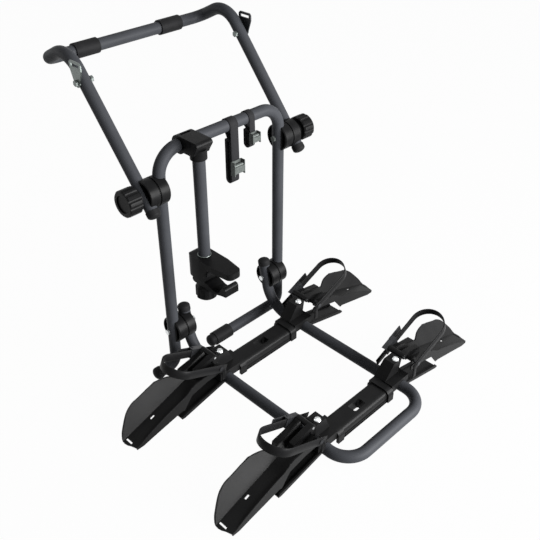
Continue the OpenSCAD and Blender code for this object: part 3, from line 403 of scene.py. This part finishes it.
# Scoop rims: the rounded bead that is moulded along the free edge of each scoop's two walls. It
# catches the light as a thin line. Points are X, Y from the tray's centreline and Z, on the right.
BEAD_R = 0.0017
BEAD_SINK = 0.0005
FAR_RIM = [
    (0.2800, 0.0323, 0.0880), (0.2921, 0.0368, 0.0909), (0.3156, 0.0419, 0.0909),
    (0.3400, 0.0435, 0.0850), (0.3576, 0.0435, 0.0789), (0.3750, 0.0435, 0.0729),
    (0.3940, 0.0435, 0.0665), (0.4150, 0.0390, 0.0520), (0.4380, 0.0262, 0.0240),
    (0.4455, 0.0196, 0.0110),
]
NEAR_RIM = [
    (0.2641, -0.0295, 0.0810), (0.2739, -0.0295, 0.0730), (0.2901, -0.0295, 0.0640),
    (0.3100, -0.0295, 0.0580), (0.3559, -0.0295, 0.0420), (0.3999, -0.0295, 0.0240),
    (0.4304, -0.0295, 0.0090), (0.4374, -0.0295, 0.0053),
]


def curve_through(points, steps):
    """A smooth line through the points, by Catmull and Rom's formula."""
    held = [Vector(p) for p in points]
    held = [2 * held[0] - held[1]] + held + [2 * held[-1] - held[-2]]
    line = []
    for a, b, c, d in zip(held, held[1:], held[2:], held[3:]):
        second = 2 * a - 5 * b + 4 * c - d
        third = 3 * b - a - 3 * c + d
        for i in range(steps):
            t = i / steps
            line.append((2 * b + (c - a) * t + second * t * t + third * t ** 3) / 2)
    return line + [held[-2]]


def bead(shape, line, radius, sides=10):
    """A round bead along a line that runs mostly across the Y axis."""
    turns = [2 * math.pi * i / sides for i in range(sides)]
    sections = []
    for i, point in enumerate(line):
        ahead = (line[min(i + 1, len(line) - 1)] - line[max(i - 1, 0)]).normalized()
        u = ahead.cross(Vector((0.0, 1.0, 0.0))).normalized()
        v = ahead.cross(u)
        sections.append([point + radius * (u * math.cos(a) + v * math.sin(a)) for a in turns])
    sweep(shape, sections)


for tray, y in TRAYS.items():
    for side, k in SIDES.items():
        shape = bmesh.new()
        for points in (FAR_RIM, NEAR_RIM):
            placed = [(k * x, y + v, z - BEAD_SINK) for x, v, z in points]
            bead(shape, curve_through(placed, 6), BEAD_R)
        own = f"{tray}_{side}"
        piece(f"scoop_rims_{own}", shape, plastic, f"scoop_{own}")


# Webbing: two black polyester straps on the crossbar, each wound over the bar and gathered under
# it, with its front leg sewn to a cam buckle and its spare length folded into a hanging bundle.
# Places across the band are from the crossbar's axis, which lies in the plane of the main frame.
FRAME_Y = 0.1093
BAR_Z = 0.632
BAND_T = 0.0019
BAND_EDGE = 0.0005
WRAP_R = 0.0161
WRAP_END = -38.0
LEG_Y = -0.0181
GATHER = (0.003, -0.0185)
BUNDLE_Y = -0.0055
BUNDLE_TURNS = 3
TUCK = (0.004, 0.006)
TURN_R = 0.010
TURN_STEP = 0.0024
TURN_LOW = 0.011
TURN_HIGH = 0.004
TURN_SLIP = 0.001
TURN_SQUASH = 0.4
TWILL_HALF = 0.0009
TWILL_SLANT = 0.6
PICK_HALF = 0.0006
WEAVE_DEPTH = 0.0005
WEB_BLACK = (0.0105, 0.0105, 0.0115)
weave, tree = new_material("webbing")
where = node(tree, "UVMap", {}, {})
along = node(tree, "SeparateXYZ", {}, {"Vector": where}, "X")
across = node(tree, "SeparateXYZ", {}, {"Vector": where}, "Y")
twill = ridges(tree, along + across * TWILL_SLANT, TWILL_HALF)
pick = ridges(tree, across, PICK_HALF)
lint = noise(tree, node(tree, "TexCoord", {}, {}, "Object"), per_metre=700.0, detail=4.0)
surface(
    tree,
    Base_Color=tint(tree, WEB_BLACK, vary(lint, 0.7, 1.3)),
    Roughness=vary(lint, 0.62, 0.8),
    Normal=bump(tree, twill * 0.6 + pick * 0.4, WEAVE_DEPTH, strength=0.6),
    Specular_IOR_Level=0.1,
)
# Each strap's place along the bar, width, foot of its front leg, and top and foot of its bundle
WEBS = {
    "strap_long": (0.026, 0.025, 0.527, 0.600, 0.481),
    "strap_short": (0.084, 0.018, 0.582, 0.606, 0.556),
}
for name, (x, width, foot, top, bottom) in WEBS.items():

    def on_web(v, z, w):
        """Where a point of the band lies."""
        return Vector((x + w, FRAME_Y + v, z))

    shape = bmesh.new()
    leg = straight((LEG_Y, foot), (-WRAP_R, BAR_Z), 6)[:-1]
    wrap = arc((0.0, BAR_Z), WRAP_R, 180.0, WRAP_END, 40)
    gather = [(GATHER[0], BAR_Z + GATHER[1]), (BUNDLE_Y, top - TURN_SLIP)]
    tuck = [(BUNDLE_Y - TUCK[0], top - TUCK[1])]
    ribbon(shape, leg + wrap + gather + tuck, width, BAND_T, BAND_EDGE, on_web)
    fold = []
    for turn in range(BUNDLE_TURNS):
        r = TURN_R - TURN_STEP * turn
        high = top - TURN_HIGH - TURN_SLIP * turn
        fold += [(BUNDLE_Y - r, high)]
        fold += arc((BUNDLE_Y, bottom + TURN_LOW), r, 180.0, 360.0, 16)
        crest = (BUNDLE_Y + TURN_STEP / 2, high - TURN_SLIP)
        fold += arc(crest, r - TURN_STEP / 2, 0.0, 180.0, 10, TURN_SQUASH)
    ribbon(shape, fold, width, BAND_T, BAND_EDGE, on_web)
    piece(name + "_webbing", shape, weave, "frame", [name])


# Joint teeth: each pair of nylon joint halves meets on a ring of moulded teeth, which shows as a
# dotted dark line in the groove between them. Each half's teeth end just short of the joint plane.
TOOTH_TOP = 0.0334
TOOTH_ROOT = 0.0305
TOOTH_GAP = 0.0002
TOOTH_END = 0.0017
TOOTH_SHARE = 0.45
TEETH = 40
JOINT_X = {"upper": 0.2131, "lower": 0.1679}
JOINT_Z = {"upper": 0.544, "lower": 0.132}
# The body of each joint half, and which way it lies from the joint plane: 1 outward, -1 inward
HALVES = {
    "upper": (("frame", -1.0), ("arch", 1.0)),
    "lower": (("frame", 1.0), ("platform", -1.0)),
}


def joint_teeth(shape, centre, side):
    """One tooth on a side of the joint plane, extruded and then repeated round the X axis."""
    step = 2 * math.pi / TEETH
    corners = []
    for r, share in ((TOOTH_ROOT, 0.0), (TOOTH_TOP, 0.0), (TOOTH_TOP, 1.0), (TOOTH_ROOT, 1.0)):
        turn = share * TOOTH_SHARE * step
        corner = Vector((side * TOOTH_GAP, r * math.sin(turn), r * math.cos(turn)))
        corners.append(shape.verts.new(centre + corner))
    base = shape.faces.new(corners)
    grown = bmesh.ops.extrude_face_region(shape, geom=[base])["geom"]
    far = [item for item in grown if isinstance(item, bmesh.types.BMVert)]
    bmesh.ops.translate(shape, verts=far, vec=(side * (TOOTH_END - TOOTH_GAP), 0.0, 0.0))
    tooth = [face for face in shape.faces if face.verts[0] in corners + far]
    bmesh.ops.spin(
        shape,
        geom=tooth,
        cent=centre,
        axis=(1.0, 0.0, 0.0),
        angle=step * (TEETH - 1),
        steps=TEETH - 1,
        use_duplicate=True,
    )


for level, halves in HALVES.items():
    for body, toward in halves:
        shape = bmesh.new()
        for k in SIDES.values():
            joint_teeth(shape, Vector((k * JOINT_X[level], FRAME_Y, JOINT_Z[level])), k * toward)
        piece(f"{level}_joint_teeth_{body}", shape, nylon, body)


# Socket ring: a thin turned steel collar with a chamfered top, pressed on where the arm's tube
# enters the clamp. Its places are from the centre of the socket's mouth.
SOCKET = Vector((-0.108, 0.0663, 0.346))
RING_BORE = 0.0151
RING_R = 0.0172
RING_FOOT = 0.0002
RING_TOP = 0.0024
RING_CHAMFER = (0.0007, 0.0008)
outline = [
    (RING_BORE, RING_FOOT),
    (RING_R, RING_FOOT),
    (RING_R, RING_TOP - RING_CHAMFER[1]),
    (RING_R - RING_CHAMFER[0], RING_TOP),
    (RING_BORE, RING_TOP),
]
shape = bmesh.new()
corners = [shape.verts.new(SOCKET + Vector((r, 0.0, z))) for r, z in outline]
edges = [shape.edges.new(pair) for pair in zip(corners, corners[1:] + corners[:1])]
bmesh.ops.spin(
    shape,
    geom=corners + edges,
    cent=SOCKET,
    axis=(0.0, 0.0, 1.0),
    angle=2 * math.pi,
    steps=64,
    use_merge=True,
)
for face in shape.faces:
    face.smooth = True
piece("arm_socket_ring", shape, plate, "holding_arm")


# Backdrop: one pale floor that catches the soft shadow, under an even pale sky. Both are white to
# the camera and in reflections, and give the object little light of their own.
FLOOR_HALF = 12.0
FLOOR_Z = -0.0006
FLOOR_GREY = (0.3, 0.3, 0.3, 1.0)
FLOOR_WHITE = 0.975
SKY_LIGHT = 0.08
WHITE = (1.0, 1.0, 1.0, 1.0)


def seen(tree):
    """1 for a ray from the camera, and for one that a piece mirrors or lets through."""
    rays = ("Is Camera Ray", "Is Glossy Ray", "Is Transmission Ray")
    camera_ray, glossy_ray, through_ray = (node(tree, "LightPath", {}, {}, ray) for ray in rays)
    return camera_ray + glossy_ray + through_ray


floor_mesh = bpy.data.meshes.new("floor")
shape = bmesh.new()
bmesh.ops.create_grid(shape, x_segments=1, y_segments=1, size=FLOOR_HALF)
shape.to_mesh(floor_mesh)
shape.free()
floor = bpy.data.objects.new("floor", floor_mesh)
floor.location.z = FLOOR_Z
bpy.context.scene.collection.objects.link(floor)
pale, tree = new_material("pale_floor")
matt = node(tree, "BsdfDiffuse", {}, {"Color": FLOOR_GREY})
white = node(tree, "Emission", {}, {"Color": WHITE, "Strength": 1.0})
share = seen(tree).span(0.0, 1.0, 0.0, FLOOR_WHITE)
mixed = node(tree, "MixShader", {}, {"Fac": share, 1: matt, 2: white})
node(tree, "OutputMaterial", {}, {"Surface": mixed})
floor_mesh.materials.append(pale)

world = bpy.data.worlds.new("studio")
bpy.context.scene.world = world
world.use_nodes = True
tree = world.node_tree
tree.nodes.clear()
strength = seen(tree).span(0.0, 1.0, SKY_LIGHT, 1.0)
sky = node(tree, "Background", {}, {"Color": WHITE, "Strength": strength})
node(tree, "OutputWorld", {}, {"Surface": sky})


# Studio lamps: a strong softbox to the right of the camera, whose reflection makes the light
# bands on the black plastic, a weaker one overhead and one behind for the far sides.
def softbox(name, size, power, place, target):
    """A rectangular lamp of this size in metres and power in watts, at a place and aimed at a target."""
    lamp = bpy.data.lights.new(name, "AREA")
    lamp.shape = "RECTANGLE"
    lamp.size, lamp.size_y = size
    lamp.energy = power
    made = bpy.data.objects.new(name, lamp)
    made.location = place
    made.rotation_euler = (Vector(target) - Vector(place)).to_track_quat("-Z", "Y").to_euler()
    bpy.context.scene.collection.objects.link(made)


softbox("key_softbox", (3.0, 2.0), power=380.0, place=(0.95, -2.8, 1.1), target=(0.0, 0.0, 0.3))
softbox("top_softbox", (1.8, 1.8), power=12.0, place=(-0.3, -0.2, 2.7), target=(0.0, 0.0, 0.3))
softbox("back_softbox", (1.6, 1.6), power=14.0, place=(-1.6, 2.3, 1.1), target=(0.0, 0.0, 0.35))


# Camera: the photograph's own view, found by fitting its perspective to the tubes. It looks down
# at the isometric angle from the front left, with a 50 mm lens on a 36 mm wide sensor.
CAMERA_AT = (-1.07175, -1.12391, 1.37561)
CAMERA_TILT = 54.736
CAMERA_TURN = -45.0
lens = bpy.data.cameras.new("camera")
lens.lens = 50.15
lens.sensor_width = 36.0
camera = bpy.data.objects.new("camera", lens)
camera.location = CAMERA_AT
camera.rotation_euler = (math.radians(CAMERA_TILT), 0.0, math.radians(CAMERA_TURN))
bpy.context.scene.collection.objects.link(camera)
bpy.context.scene.camera = camera
bpy.context.scene.view_settings.view_transform = "Standard"
